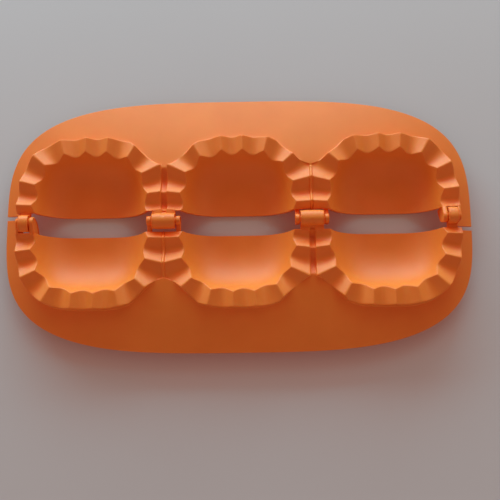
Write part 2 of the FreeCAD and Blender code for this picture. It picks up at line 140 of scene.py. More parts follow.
# The spacing of the mesh, as counts, shares and millimetres
RIM_SAMPLES = 4001
HALF_RIM = RIM_SAMPLES // 2 + 1
OUTLINE_SAMPLES = 2001
SEARCH_STEPS = 50
CREST_MARKS = (0, 0.25, CREST_ROUND, 0.8)
FLANK_SHARES = (0.45, 0.72, 1)
TROUGH_SHARES = (0.25, 0.5, 0.75, 1)
LEAST_TO_FIXED = 0.12
LEAST_SPACING = 0.05
SAME_DISTANCE = 1e-6
WELD_DIGITS = 3
TOP_SHARES = (0.08, 0.36, 0.68, 0.93)
UNDER_SHARES = (0.2, 0.4, 0.6, 0.8)
UNDER_BENDS = ((0.85, 0.1), (0.88, 0.2), (0.8, 0.3))
BEND_POINTS = 5
SKIRT_ROWS = 16
BOWL_RINGS = 26
FLOOR_EDGE = 0.7
RING_POWER = 0.8
SLOPE_STEP = 0.002
MEAN_RADIUS_FACTOR = 1.1
TONGUE_STEPS = 8
RIB_STEPS = 150


# ---------------------------------------------------------------- rim, wave and skirt as formulas

rim_angles = np.linspace(math.pi, 0, RIM_SAMPLES)
rim_x = RIM_HALF_WIDTH * np.sign(np.cos(rim_angles)) * np.abs(np.cos(rim_angles)) ** (2 / RIM_POWER)
rim_y = RIM_REACH * np.abs(np.sin(rim_angles)) ** (2 / RIM_POWER)
slope_x = np.sign(rim_x) * (np.abs(rim_x) / RIM_HALF_WIDTH) ** (RIM_POWER - 1) / RIM_HALF_WIDTH
slope_y = (rim_y / RIM_REACH) ** (RIM_POWER - 1) / RIM_REACH
slope = np.hypot(slope_x, slope_y)
line_x = rim_x - WAVE_LINE_INSET * slope_x / slope
line_y = rim_y - WAVE_LINE_INSET * slope_y / slope
rim_length = np.concatenate([[0], np.cumsum(np.hypot(np.diff(line_x), np.diff(line_y)))])
RIM_TOTAL = rim_length[-1]
START = float(rim_length[np.argmax(rim_y >= SETBACK)])
STOP = RIM_TOTAL - START
WAVE_PITCH = RIM_TOTAL / (WAVE_COUNT - 1 + 2 * WAVE_LEAD + 0.5)
SHORT_LEAD = WAVE_LEAD * WAVE_PITCH
LONG_LEAD = SHORT_LEAD + WAVE_PITCH / 2


def rim_at(distance):
    """Plan point and outward normal of the rim; the distance is measured on the waves' inset line."""
    x = float(np.interp(distance, rim_length, rim_x))
    y = float(np.interp(distance, rim_length, rim_y))
    normal = np.array([
        math.copysign((abs(x) / RIM_HALF_WIDTH) ** (RIM_POWER - 1) / RIM_HALF_WIDTH, x),
        (y / RIM_REACH) ** (RIM_POWER - 1) / RIM_REACH,
    ])
    return np.array([x, y]), normal / np.linalg.norm(normal)


def wave_level(distance, first_crest):
    """Height of the crimp: straight flanks from a barely rounded crest to a rounded trough."""
    turns = (distance - first_crest) / WAVE_PITCH
    from_crest = abs(turns - round(turns)) * WAVE_PITCH
    phase = from_crest / WAVE_PITCH * 2
    trough_share = 1 - WAVE_FLANK
    slope = 1 / (1 - trough_share / 2)
    if from_crest < CREST_ROUND:
        steep = slope * 2 / WAVE_PITCH
        fall = steep * (from_crest ** 2 / (2 * CREST_ROUND) + CREST_ROUND / 2)
    elif phase <= WAVE_FLANK:
        fall = slope * phase
    else:
        fall = 1 - slope * (1 - phase) ** 2 / (2 * trough_share)
    return CREST - WAVE_HEIGHT * fall


def skirt_level(x, y):
    """Height of the skirt's upper face."""
    across_length = (abs(x) / HALF_LENGTH) ** OUTLINE_POWER
    across_width = (abs(y) / HALF_WIDTH) ** OUTLINE_POWER
    share = (across_length + across_width) ** (1 / OUTLINE_POWER)
    fall = (max(share - SKIRT_START, 0) / (1 - SKIRT_START)) ** SKIRT_CURVE
    return -SKIRT_STEP - (SKIRT_DROP - SKIRT_STEP) * fall


def smooth(value):
    """Soft step from 0 to 1 as the value goes from 0 to 1."""
    value = min(max(value, 0.0), 1.0)
    return value * value * (3 - 2 * value)


def covers(x, y, beside_pocket):
    """True inside the crimp's edge; beside a pocket also in the web, up to the notch's curve."""
    inside = (abs(x) / CRIMP_HALF_X) ** RIM_POWER + (abs(y) / CRIMP_HALF_Y) ** RIM_POWER < 1
    if not beside_pocket:
        return inside
    if abs(x) > MIDLINE + WALL:
        return False
    notch_edge = VALLEY_TIP + math.hypot(MIDLINE - abs(x), NOTCH_ROUNDNESS) - NOTCH_ROUNDNESS
    return y < notch_edge and (inside or abs(x) > RIM_HALF_WIDTH)


def crimp_reach(point, normal, gap):
    """Width of the crimp along a normal, and whether it ends at the midline between pockets."""
    high = WALL / 4
    while covers(*(point + normal * high), gap is not None):
        high += WALL / 4
    low = high - WALL / 4
    for _ in range(SEARCH_STEPS):
        middle = (low + high) / 2
        if covers(*(point + normal * middle), gap is not None):
            low = middle
        else:
            high = middle
    if gap is not None:
        to_midline = MIDLINE - gap - abs(point[0])
        if to_midline <= low * abs(normal[0]):
            return to_midline / abs(normal[0]), True
    return low, False


# ---------------------------------------------------------------- sections of one moulded half

def stations(first_crest, gaps):
    """Distances along one rim at which its section is drawn, closer at crests and troughs."""
    half = WAVE_PITCH / 2
    flank = WAVE_FLANK * half
    aways = list(CREST_MARKS)
    aways += [flank * share for share in FLANK_SHARES]
    aways += [flank + (half - flank) * share for share in TROUGH_SHARES]
    marks = []
    for i in range(-1, WAVE_COUNT + 1):
        crest = first_crest + i * WAVE_PITCH
        for away in aways:
            marks.extend((crest - away, crest + away))
    corners = []
    for side, gap in ((-1, gaps[0]), (1, gaps[1])):
        if gap is None:
            continue
        low, high = (START, RIM_TOTAL / 2) if side < 0 else (STOP, RIM_TOTAL / 2)
        for _ in range(SEARCH_STEPS):
            middle = (low + high) / 2
            point, normal = rim_at(middle)
            if crimp_reach(point, normal, gap)[1]:
                low = middle
            else:
                high = middle
        corners.append((low + high) / 2)
    fixed = sorted([START, STOP] + corners)
    inside = [mark for mark in marks if START < mark < STOP]
    clear = [mark for mark in inside if min(abs(mark - place) for place in fixed) > LEAST_TO_FIXED]
    marks = sorted(clear + fixed)
    clean = [marks[0]]
    for mark in marks[1:]:
        if mark - clean[-1] > LEAST_SPACING:
            clean.append(mark)
    return clean, corners


def bend(before, corner, after, count=BEND_POINTS):
    """Rounded corner: a parabola whose tangents at before and after meet in the corner."""
    points = []
    for i in range(count):
        t = i / (count - 1)
        points.append((1 - t) ** 2 * before + 2 * t * (1 - t) * corner + t ** 2 * after)
    return points


def between(start, end, share):
    """Point at a share of the way from start to end."""
    return start * (1 - share) + end * share


def bowl_profile(share):
    """Level and slope of the bowl's inner face at a share of its rim."""
    depth = BOWL_DEPTH + RIM_LEVEL
    above = depth * BOWL_TAN
    top = math.sqrt(1 - (above / (above + depth)) ** 2)

    def level(s):
        if s <= BOWL_FLOOR:
            return RIM_LEVEL - depth
        q = (s - BOWL_FLOOR) / (1 - BOWL_FLOOR) * top
        return RIM_LEVEL - (math.sqrt(max(1 - q * q, 0)) * (above + depth) - above)

    return level(share), (level(share) - level(share - SLOPE_STEP)) / SLOPE_STEP


RIM_BACK = -(CREST - RIM_LEVEL) * BOWL_TAN


class Station:
    """Section of the crimp at one place on a rim: upper and lower points, from the rim outwards."""

    def __init__(self, distance, first_crest, centre_x, gaps, corners):
        self.distance = distance
        point, normal = rim_at(distance)
        gap = gaps[1] if normal[0] > 0 else gaps[0]
        level = wave_level(distance, first_crest)
        reach, self.at_midline = crimp_reach(point, normal, gap)
        self.corner = any(abs(distance - c) < SAME_DISTANCE for c in corners)
        self.at_midline = self.at_midline or self.corner
        outward = normal
        foot_round = FOOT_ROUND
        edge_round = OUTER_ROUND
        outer = point + normal * reach
        if self.at_midline:
            side = math.copysign(1, normal[0])
            near_tip = 1.0 if self.corner else smooth((outer[1] - (VALLEY_TIP - TIP_BLEND)) / TIP_BLEND)
            outward = np.array([side, 0.0]) * (1 - near_tip) + normal * near_tip
            outward = outward / np.linalg.norm(outward)
            foot = level - SLOT_DEPTH
            if gap == GROOVE_GAP:
                # The groove follows the crimp's wave and runs shallow towards the clip
                foot -= GROOVE_EXTRA_DEPTH * smooth((outer[1] - SETBACK) / GROOVE_RUN_OUT)
                side_foot_round = GROOVE_ROUND
                side_edge_round = SLOT_ROUND
            else:
                side_foot_round = SLOT_ROUND
                side_edge_round = RIB_SIDE_ROUND
            foot_round = side_foot_round * (1 - near_tip) + FOOT_ROUND * near_tip
            edge_round = side_edge_round * (1 - near_tip) + OUTER_ROUND * near_tip
            tip_foot = skirt_level(outer[0] + centre_x, outer[1])
            foot = foot * (1 - near_tip) + tip_foot * near_tip
            far_foot = foot
        else:
            foot = skirt_level(outer[0] + centre_x, outer[1])
            far = outer + outward * foot_round
            far_foot = skirt_level(far[0] + centre_x, far[1])

        def place(along, height):
            plan = point + normal * min(along, reach) + outward * max(along - reach, 0)
            return np.array([plan[0] + centre_x, plan[1], height])

        drop = level - foot
        tall = min(EDGE_DROP, EDGE_DROP_SHARE * abs(drop)) * math.copysign(1, drop)
        inner = -(CREST - level) * BOWL_TAN
        slant = np.array([RIM_BACK - inner, RIM_LEVEL - level])
        slant_length = np.linalg.norm(slant)
        slant = slant / slant_length
        root = np.array([RIM_BACK, RIM_LEVEL])
        corner_a = np.array([inner, level])
        before_a = corner_a + slant * min(INNER_ROUND, slant_length / 2)
        after_a = corner_a + np.array([INNER_ROUND, 0])
        corner_b = np.array([reach, level])
        before_b = corner_b - np.array([edge_round, 0])
        after_b = corner_b - np.array([0, tall])
        corner_c = np.array([reach, foot])
        before_c = corner_c + np.array([0, tall])
        after_c = np.array([reach + foot_round, far_foot])
        top = [root, between(root, before_a, 1 / 2)]
        top += bend(before_a, corner_a, after_a)
        top += [between(after_a, before_b, share) for share in TOP_SHARES]
        top += bend(before_b, corner_b, after_b)
        top.append(between(after_b, before_c, 1 / 2))
        top += bend(before_c, corner_c, after_c)
        self.top = [place(*p) for p in top]

        # The lower points, a wall below: root, under the rim, under the edge, foot and skirt
        under_rim = WALL * UNDER_LEAN - (CREST - level + WALL) * BOWL_TAN
        under_a = max(under_rim, RIM_BACK + WALL * UNDER_LEAST)
        low_root = np.array([RIM_BACK + WALL, RIM_LEVEL])
        low_a = np.array([under_a, level - WALL])
        low_b = np.array([reach - WALL, level - WALL])
        low_c = np.array([reach - WALL, foot - WALL])
        low_d = np.array([reach + foot_round, far_foot - WALL])
        line = [low_root, low_a, low_b, low_c, low_d]
        bends = []
        for before, corner, after, (start, stop) in zip(line, line[1:], line[2:], UNDER_BENDS):
            bends.append(bend(between(before, corner, start), corner, between(corner, after, stop)))
        low = [low_root, between(low_root, low_a, 1 / 2)]
        low += bends[0]
        low += [between(low_a, low_b, share) for share in UNDER_SHARES]
        low += bends[1]
        low.append(between(low_b, low_c, 1 / 2))
        low += bends[2]
        low[-1] = low_d
        self.low = [place(*p) for p in low]
        self.outer = self.top[-1]


def bowl_rows(distances, centre_x):
    """Rings of the bowl from its rim down to the edge of its floor, inner and outer faces."""
    inner_rows = []
    outer_rows = []
    first = distances[0]
    last = distances[-1]
    for ring in range(1, BOWL_RINGS + 1):
        turn = ring / BOWL_RINGS
        least = BOWL_FLOOR * FLOOR_EDGE
        share = 1 - (1 - least) * (1 - math.cos(turn * math.pi / 2)) ** RING_POWER
        share = max(share, least)
        lowest = float(np.interp(SETBACK / share, rim_y[:HALF_RIM], rim_length[:HALF_RIM]))
        level, slope = bowl_profile(share)
        mean_radius = (RIM_HALF_WIDTH + RIM_BACK) * MEAN_RADIUS_FACTOR
        tilt = math.atan(slope / mean_radius)
        inner_row = []
        outer_row = []
        for distance in distances:
            along = (distance - first) / (last - first)
            moved = lowest + (RIM_TOTAL - 2 * lowest) * along
            point, normal = rim_at(moved)
            base = (point + normal * RIM_BACK) * share
            edge = along in (0.0, 1.0)
            y = SETBACK if edge else max(base[1], SETBACK)
            inner_row.append(np.array([base[0] + centre_x, y, level]))
            out = base + normal * WALL * math.sin(tilt)
            y = SETBACK if edge else max(out[1], SETBACK)
            outer_row.append(np.array([out[0] + centre_x, y, level - WALL * math.cos(tilt)]))
        inner_rows.append(inner_row)
        outer_rows.append(outer_row)
    return inner_rows, outer_rows


def outline_at(x=None, y=None, side=1):
    """Plan point of the skirt's outline at a given x or y."""
    if y is None:
        share = 1 - min(abs(x) / HALF_LENGTH, 1) ** OUTLINE_POWER
        return np.array([x, HALF_WIDTH * max(share, 0) ** (1 / OUTLINE_POWER)])
    share = 1 - min(abs(y) / HALF_WIDTH, 1) ** OUTLINE_POWER
    return np.array([side * HALF_LENGTH * max(share, 0) ** (1 / OUTLINE_POWER), y])


end_angles = np.linspace(0, math.pi / 2, OUTLINE_SAMPLES)
end_x = HALF_LENGTH * np.cos(end_angles) ** (2 / OUTLINE_POWER)
end_y = HALF_WIDTH * np.sin(end_angles) ** (2 / OUTLINE_POWER)
end_length = np.concatenate([[0], np.cumsum(np.hypot(np.diff(end_x), np.diff(end_y)))])


def skirt_columns(runs):
    """Upper points of the skirt, one column from each crimp foot out to the outline."""
    columns = []
    for index, run in enumerate(runs):
        centre_x = (index - 1) * PITCH
        shown = [s for s in run if not s.at_midline or s.corner]
        feet = np.array([s.outer for s in shown])
        if index == 1:
            targets = [outline_at(x=foot[0]) for foot in feet]
        else:
            side = -1 if index == 0 else 1
            order = list(range(len(feet)))[::-side]
            path = [feet[i] for i in order]
            length = [0.0]
            for before, after in zip(path, path[1:]):
                length.append(length[-1] + float(np.linalg.norm(after[:2] - before[:2])))
            half_round = next(i for i, foot in enumerate(path) if side * (foot[0] - centre_x) <= 0)
            first_y = TONGUE_REACH + PARTING_SLOT if side < 0 else SETBACK
            start_at = float(np.interp(first_y, end_y, end_length))
            stop_at = float(np.interp(-abs(path[half_round][0]), -end_x, end_length))
            moved = {}
            for rank, i in enumerate(order):
                if rank <= half_round:
                    share = length[rank] / length[half_round]
                    at = start_at + (stop_at - start_at) * share
                    moved[i] = np.array([
                        side * float(np.interp(at, end_length, end_x)),
                        float(np.interp(at, end_length, end_y)),
                    ])
                else:
                    moved[i] = outline_at(x=path[rank][0])
            targets = [moved[i] for i in range(len(feet))]
        for foot, target in zip(feet, targets):
            columns.append((foot, target))
    # The tongue: columns that run on down the right end, past the hinge line
    foot = columns[-1][0]
    top = SETBACK - TONGUE_CORNER
    inner = [((foot[0] + TONGUE_X) / 2, SETBACK - TONGUE_HALFWAY)]
    for i in range(TONGUE_STEPS + 1):
        inner.append((TONGUE_X, top - (TONGUE_REACH + top) * i / TONGUE_STEPS))
    for x, y in inner:
        columns.append((np.array([x, y, skirt_level(x, y)]), outline_at(y=y)))
    whole = []
    for foot, target in columns:
        column = [foot]
        for row in range(1, SKIRT_ROWS + 1):
            share = row / SKIRT_ROWS
            x = foot[0] + (target[0] - foot[0]) * share
            y = foot[1] + (target[1] - foot[1]) * share
            column.append(np.array([x, y, skirt_level(x, y)]))
        whole.append(column)
    return whole


class Sheet:
    """Moulding under construction: welded pairs of an upper and a lower point, and its faces."""

    def __init__(self):
        self.upper = []
        self.lower = []
        self.index = {}
        self.faces = []

    def add(self, upper, lower):
        key = tuple(round(float(value), WELD_DIGITS) for value in upper)
        if key not in self.index:
            self.index[key] = len(self.upper)
            self.upper.append(key)
            self.lower.append(tuple(float(value) for value in lower))
        return self.index[key]

    def grid(self, upper_rows, lower_rows):
        """Quads between neighbouring rows of points."""
        numbers = [[self.add(*pair) for pair in zip(*rows)] for rows in zip(upper_rows, lower_rows)]
        for before, after in zip(numbers, numbers[1:]):
            for i in range(len(before) - 1):
                self.face([before[i], before[i + 1], after[i + 1], after[i]])
        return numbers

    def face(self, numbers):
        clean = []
        for number in numbers:
            if number not in clean:
                clean.append(number)
        if len(clean) > 2:
            self.faces.append(clean)

    def border(self):
        """Directed edges that only one face uses."""
        used = set()
        for face in self.faces:
            used.update(zip(face, face[1:] + face[:1]))
        return [(a, b) for a, b in used if (b, a) not in used]


POCKET_PLAN = [
    (LONG_LEAD, (None, GROOVE_GAP)),
    (SHORT_LEAD, (GROOVE_GAP, RIB_GAP)),
    (LONG_LEAD, (RIB_GAP, None)),
]


def half_sheet():
    """The whole moulding of the rear half without its hinge parts, heights from the hinge axis."""
    sheet = Sheet()
    runs = []
    for index, (lead, gaps) in enumerate(POCKET_PLAN):
        centre_x = (index - 1) * PITCH
        distances, corners = stations(lead, gaps)
        run = [Station(d, lead, centre_x, gaps, corners) for d in distances]
        runs.append(run)
        sheet.grid([s.top for s in run], [s.low for s in run])
        inner_rows, outer_rows = bowl_rows(distances, centre_x)
        inner_rows.insert(0, [s.top[0] for s in run])
        outer_rows.insert(0, [s.low[0] for s in run])
        numbers = sheet.grid(inner_rows, outer_rows)
        sheet.face(numbers[-1])
    for left, right in zip(runs, runs[1:]):
        left_side = [s for s in left if s.at_midline and s.distance > RIM_TOTAL / 2]
        right_side = [s for s in right if s.at_midline and s.distance < RIM_TOTAL / 2][::-1]
        sheet.grid([[a.top[-1], b.top[-1]] for a, b in zip(left_side, right_side)],
                   [[a.low[-1], b.low[-1]] for a, b in zip(left_side, right_side)])
    columns = skirt_columns(runs)
    sheet.grid(columns, [[p - np.array([0, 0, WALL]) for p in column] for column in columns])
    return sheet


def new_object(name, points, faces):
    mesh = bpy.data.meshes.new(name)
    mesh.from_pydata(points, [], faces)
    mesh.update()
    obj = bpy.data.objects.new(name, mesh)
    bpy.context.scene.collection.objects.link(obj)
    return obj


def turned(half, point):
    """Place of a rear half's point in metres, or of the same point of the front half."""
    sign = 1 if half == "rear" else -1
    return (sign * point[0] * MM, sign * point[1] * MM, (point[2] + AXIS_HEIGHT) * MM)


def moulding(half, sheet):
    """One half as a closed mesh: upper face, lower face and a softened border."""
    points = [turned(half, p) for p in sheet.upper] + [turned(half, p) for p in sheet.lower]
    count = len(sheet.upper)
    faces = list(sheet.faces)
    faces += [[i + count for i in face[::-1]] for face in sheet.faces]
    border = sheet.border()
    faces += [[b, a, a + count, b + count] for a, b in border]
    obj = new_object(f"{half}_moulding", points, faces)
    mesh = obj.data
    build = bmesh.new()
    build.from_mesh(mesh)
    bmesh.ops.recalc_face_normals(build, faces=build.faces)
    build.edges.ensure_lookup_table()
    rim = {frozenset(pair) for pair in border}
    rim |= {frozenset((a + count, b + count)) for a, b in border}
    weight = build.edges.layers.float.new("bevel_weight_edge")
    for edge in build.edges:
        if frozenset((edge.verts[0].index, edge.verts[1].index)) in rim:
            edge[weight] = 1.0
    build.to_mesh(mesh)
    build.free()
    return obj


# ---------------------------------------------------------------- hinge parts and ribs

# Counts of points, and angles in degrees
ROUND_ANGLES = (0, 30, 60, 90)
BARREL_POINTS = 30
BORE_POINTS = 22
EAR_POINTS = 30
TONGUE_EAR_POINTS = 26
BELLY_POINTS = 12
CORNER_POINTS = 6
RIDGE_POINTS = 9
ROOF_SHARES = (0.25, 0.5, 0.75, 1.0)
MIDDLE_NOSE_ANGLES = (-35, 180)
EAR_STOP_ANGLE = 190
TONGUE_EAR_STOP_ANGLE = 185

# Limits that keep a tight corner's inset short, and lengths that count as none
LEAST_MITRE_COSINE = 0.5
LONGEST_MITRE = 1.6
TINY_EDGE = 1e-9
TINY_NORMAL = 1e-6

# The keyhole groove in the roof of a middle clip; a step is its start, run and full amount
KEYHOLE_START = 0.4
KEYHOLE_SHALLOW = (KEYHOLE_START, 3.5, 0.5)
KEYHOLE_DEEP = (4.2, 1.4, 1.6)
KEYHOLE_HALF_WIDTH = 0.9
KEYHOLE_WIDENING = (1.5, 3.0, 0.7)
KEYHOLE_POWER = 0.6
KEYHOLE_ROOF = 0.5
KEYHOLE_COLUMNS = (0, 0.35, 0.7, 1.0, 1.3, 1.6, 2.0, 3.5)
ARM_FOOT = 0.4

# The bulge of an end ear's gusset, and the foot of the ear on the tongue, as shares
BELLY_RADIUS_SHARE = 0.95
BELLY_DEPTH_SHARE = 0.72
TONGUE_SINK_SHARE = 0.6
TONGUE_NOSE_SHARE = 0.9

# The rib's ridge: how early it starts and ends, its taper, half width, crown and base
RIB_EARLY = 0.4
RIB_SHORT = 0.2
RIB_TAPER = (-0.6, 5.5, 1.0)
RIB_END_RUN = 1.2
RIB_END_DROP = 0.7
POINT_HALF_WIDTH = 0.15
RIDGE_HALF_WIDTH = 0.65
POINT_CROWN = 0.15
RIDGE_CROWN = 0.85
CREST_CROWN = 0.2
RIDGE_SINK = 0.1
RIDGE_BASE = 1.1
MIDLINE_SAMPLES = 400


def inset(profile, depth):
    """A closed outline moved inwards by a depth."""
    count = len(profile)
    following = profile[1:] + profile[:1]
    area = sum(a[0] * b[1] - b[0] * a[1] for a, b in zip(profile, following))
    sign = 1 if area > 0 else -1
    moved = []
    for i in range(count):
        before = np.array(profile[i]) - np.array(profile[i - 1])
        after = np.array(following[i]) - np.array(profile[i])
        before = before / (np.linalg.norm(before) + TINY_EDGE)
        after = after / (np.linalg.norm(after) + TINY_EDGE)
        normal = np.array([-before[1] - after[1], before[0] + after[0]]) * sign
        length = np.linalg.norm(normal)
        normal = normal / length if length > TINY_NORMAL else np.zeros(2)
        cosine = abs(np.dot(normal, np.array([-after[1], after[0]]) * sign))
        stretch = min(1 / max(cosine, LEAST_MITRE_COSINE), LONGEST_MITRE)
        moved.append(tuple(np.array(profile[i]) + normal * depth * stretch))
    return moved


def arc(radius, start, stop, count):
    """Points of a circle about the hinge axis between two angles in degrees."""
    angles = [math.radians(start + (stop - start) * i / (count - 1)) for i in range(count)]
    return [(radius * math.cos(a), radius * math.sin(a)) for a in angles]


def tangent_angle(point, radius):
    """Angle at which the upper tangent from an outside point touches a circle about the axis."""
    away = math.hypot(*point)
    return math.degrees(math.atan2(point[1], point[0]) + math.acos(radius / away))


def loops_piece(name, half, loops):
    """Closed mesh through loops of points, capped at both ends, that stands for its solid."""
    points = [turned(half, p) for loop in loops for p in loop]
    size = len(loops[0])
    faces = []
    for k in range(len(loops) - 1):
        for i in range(size):
            j = (i + 1) % size
            faces.append([k * size + i, k * size + j, (k + 1) * size + j, (k + 1) * size + i])
    faces.append(list(range(size))[::-1])
    faces.append([(len(loops) - 1) * size + i for i in range(size)])
    obj = new_object(name, points, faces)
    build = bmesh.new()
    build.from_mesh(obj.data)
    bmesh.ops.recalc_face_normals(build, faces=build.faces)
    build.to_mesh(obj.data)
    build.free()
    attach(obj, f"{half}_half")
    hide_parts(name.replace("_moulded", ""))
    return obj


def across(half_width, rounding, inner):
    """Places across a hinge part with the inset of each, rounded at both ends."""
    ends = []
    for angle in ROUND_ANGLES:
        cosine = math.cos(math.radians(angle))
        sine = math.sin(math.radians(angle))
        ends.append((half_width - rounding * (1 - cosine), rounding * (1 - sine)))
    right = [(x, 0.0) for x in inner if x > 0] + ends
    return [(-x, d) for x, d in right[::-1]] + [(x, 0.0) for x in inner if x == 0] + right


def soft_step(place, step):
    """Amount of a soft step, given as its start, run and full amount, at a place."""
    start, run, amount = step
    return amount * smooth((place - start) / run)


def clip_part(name, half, centre_x, width, lead, grooved):
    """Snap clip: a slightly oval barrel open below, its roof running back into the crimps."""
    level = wave_level(START, lead)
    back = SETBACK + SEATING
    thick = ARM_THICKNESS + ROOF_EXTRA
    if level > 0:
        top_angle = tangent_angle((back, level), BARREL_RADIUS)
    else:
        top_angle = math.degrees(math.asin(level / BARREL_RADIUS))
    lip = math.degrees(math.asin(SNAP_MOUTH / 2 / BARREL_RADIUS))
    bore_lip = math.degrees(math.asin(SNAP_MOUTH / 2 / BORE_RADIUS))
    nose = MIDDLE_OVAL if grooved else END_OVAL
    barrel = arc(BARREL_RADIUS, -90 - lip, top_angle - 360, BARREL_POINTS)
    profile = [(min(y, y * nose), z) for y, z in barrel]
    last = profile[-1]
    for share in ROOF_SHARES:
        profile.append((last[0] + (back - last[0]) * share, last[1] + (level - last[1]) * share))
    roof_end = len(profile)
    profile.append((back, level - thick))
    profile.append((SETBACK - ARM_FOOT, level - thick))
    profile.append((SNAP_MOUTH / 2, -BARREL_RADIUS * math.cos(math.radians(lip))))
    profile += arc(BORE_RADIUS, -90 + bore_lip, 270 - bore_lip, BORE_POINTS)
    loops = []
    for x, depth in across(width / 2, PART_ROUND, KEYHOLE_COLUMNS if grooved else (0, width / 4)):
        loop = inset(profile, depth) if depth else profile
        points = []
        for k, (y, z) in enumerate(loop):
            if grooved and k < roof_end and y > KEYHOLE_START and z > level - KEYHOLE_ROOF:
                reach = soft_step(y, KEYHOLE_SHALLOW) + soft_step(y, KEYHOLE_DEEP)
                half_width = KEYHOLE_HALF_WIDTH + soft_step(y, KEYHOLE_WIDENING)
                z -= reach * max(1 - (x / half_width) ** 2, 0) ** KEYHOLE_POWER
            points.append((centre_x + x, y, z))
        loops.append(points)
    return loops_piece(name, half, loops)


def curve_points(start, control, end, count):
    """Points of a parabola between two places, without the first."""
    places = [np.array(p, float) for p in (start, control, end)]
    return [tuple(p) for p in bend(*places, count)[1:]]


def ear_part(name, half, start_x, thickness, profile):
    """Ear beside a clip, a rounded plate with the given outline across the hinge axis."""
    centre = start_x + thickness / 2
    loops = []
    for x, depth in across(thickness / 2, min(EAR_ROUND, thickness * EAR_ROUND_SHARE), [0]):
        loop = inset(profile, depth) if depth else profile
        loops.append([(centre + x, y, z) for y, z in loop])
    return loops_piece(name, half, loops)


def middle_ear_outline(level):
    """Short square-shouldered nose round the pin, with a low neck back to the crimps."""
    back = SETBACK + SEATING
    profile = arc(MIDDLE_NOSE, *MIDDLE_NOSE_ANGLES, EAR_POINTS)
    before = (-MIDDLE_NOSE, EAR_CORNER - MIDDLE_GUSSET)
    corner = (-MIDDLE_NOSE, -MIDDLE_GUSSET)
    after = (EAR_CORNER - MIDDLE_NOSE, -MIDDLE_GUSSET)
    profile += curve_points(before, corner, after, CORNER_POINTS)
    profile += [(back, -MIDDLE_GUSSET), (back, level - MIDDLE_NECK_DROP)]
    return profile


def end_ear_outline(level):
    """Nose round the pin, and a full gusset that deepens back to the crimps."""
    back = SETBACK + END_EAR_SEATING
    profile = arc(EAR_RADIUS, tangent_angle((back, level), EAR_RADIUS), EAR_STOP_ANGLE, EAR_POINTS)
    belly = (-EAR_RADIUS * BELLY_RADIUS_SHARE, -END_GUSSET * BELLY_DEPTH_SHARE)
    profile += curve_points(profile[-1], belly, (back, -END_GUSSET), BELLY_POINTS)
    profile.append((back, level))
    return profile


def tongue_ear_outline(level):
    """Small nose of the outer end ear, with a leg that stands on the tongue."""
    foot = skirt_level(TONGUE_X, 0) - WALL * TONGUE_SINK_SHARE
    back = SETBACK + SEATING
    top_angle = tangent_angle((back, level), OUTER_EAR_RADIUS)
    profile = arc(OUTER_EAR_RADIUS, top_angle, TONGUE_EAR_STOP_ANGLE, TONGUE_EAR_POINTS)
    profile += [(-OUTER_EAR_RADIUS * TONGUE_NOSE_SHARE, foot), (back, foot), (back, level)]
    return profile


def midline_levels(lead, gap):
    """Distances from the hinge along the line between two pockets, and the crimp's height there."""
    places = []
    for distance in np.linspace(START, RIM_TOTAL / 2, MIDLINE_SAMPLES):
        point, normal = rim_at(distance)
        reach, at_midline = crimp_reach(point, normal, gap)
        if at_midline:
            places.append((point[1] + normal[1] * reach, wave_level(distance, lead)))
    return np.array(places).T


def rib_part(name, half):
    """Seal rib: a rounded ridge over the slot between two crimps, which starts in a point."""
    along, levels = midline_levels(LONG_LEAD, RIB_GAP)
    near = SETBACK - RIB_EARLY
    far = VALLEY_TIP - RIB_SHORT
    arch = np.linspace(0, math.pi, RIDGE_POINTS)
    loops = []
    for i in range(RIB_STEPS + 1):
        y = near + (far - near) * i / RIB_STEPS
        level = float(np.interp(y, along, levels))
        swell = ((level - TROUGH) / WAVE_HEIGHT) ** 2
        taper = soft_step(y - near, RIB_TAPER)
        wide = POINT_HALF_WIDTH + RIDGE_HALF_WIDTH * taper
        crown = (RIDGE_CROWN + CREST_CROWN * swell) * taper + POINT_CROWN
        middle = level - RIDGE_SINK - RIB_END_DROP * (1 - smooth((far - y) / RIB_END_RUN))
        section = [(-wide, level - RIDGE_BASE)]
        section += [(-wide * math.cos(t), middle + crown * math.sin(t)) for t in arch]
        section.append((wide, level - RIDGE_BASE))
        loops.append([(MIDLINE + x, y, z) for x, z in section])
    return loops_piece(name, half, loops)


# ---------------------------------------------------------------- materials

def set_inputs(made, **values):
    """Values for a node's inputs, under their names with underscores for the spaces."""
    for key, value in values.items():
        made.inputs[key.replace("_", " ")].default_value = value


def node(tree, kind, **values):
    """New node of a tree, with values for its inputs."""
    made = tree.nodes.new(kind)
    set_inputs(made, **values)
    return made


def noise(tree, place, scale, detail):
    """Noise texture laid on the object's own coordinates."""
    made = node(tree, "ShaderNodeTexNoise", Scale=scale, Detail=detail)
    tree.links.new(place.outputs["Object"], made.inputs["Vector"])
    return made


def clouding(tree, place, shader, scale, detail, stops):
    """Base colour that drifts between two shades, each given with its stop on the ramp."""
    ramp = node(tree, "ShaderNodeValToRGB")
    for element, (position, colour) in zip(ramp.color_ramp.elements, stops):
        element.position = position
        element.color = colour
    tree.links.new(noise(tree, place, scale, detail).outputs["Fac"], ramp.inputs["Fac"])
    tree.links.new(ramp.outputs["Color"], shader.inputs["Base Color"])


def choice(tree, ray, usual, special):
    """Shader output that is the special one for one kind of ray, and the usual one for the rest."""
    path = node(tree, "ShaderNodeLightPath")
    choose = node(tree, "ShaderNodeMixShader")
    tree.links.new(path.outputs[ray], choose.inputs["Fac"])
    tree.links.new(usual, choose.inputs[1])
    tree.links.new(special, choose.inputs[2])
    return choose.outputs["Shader"]


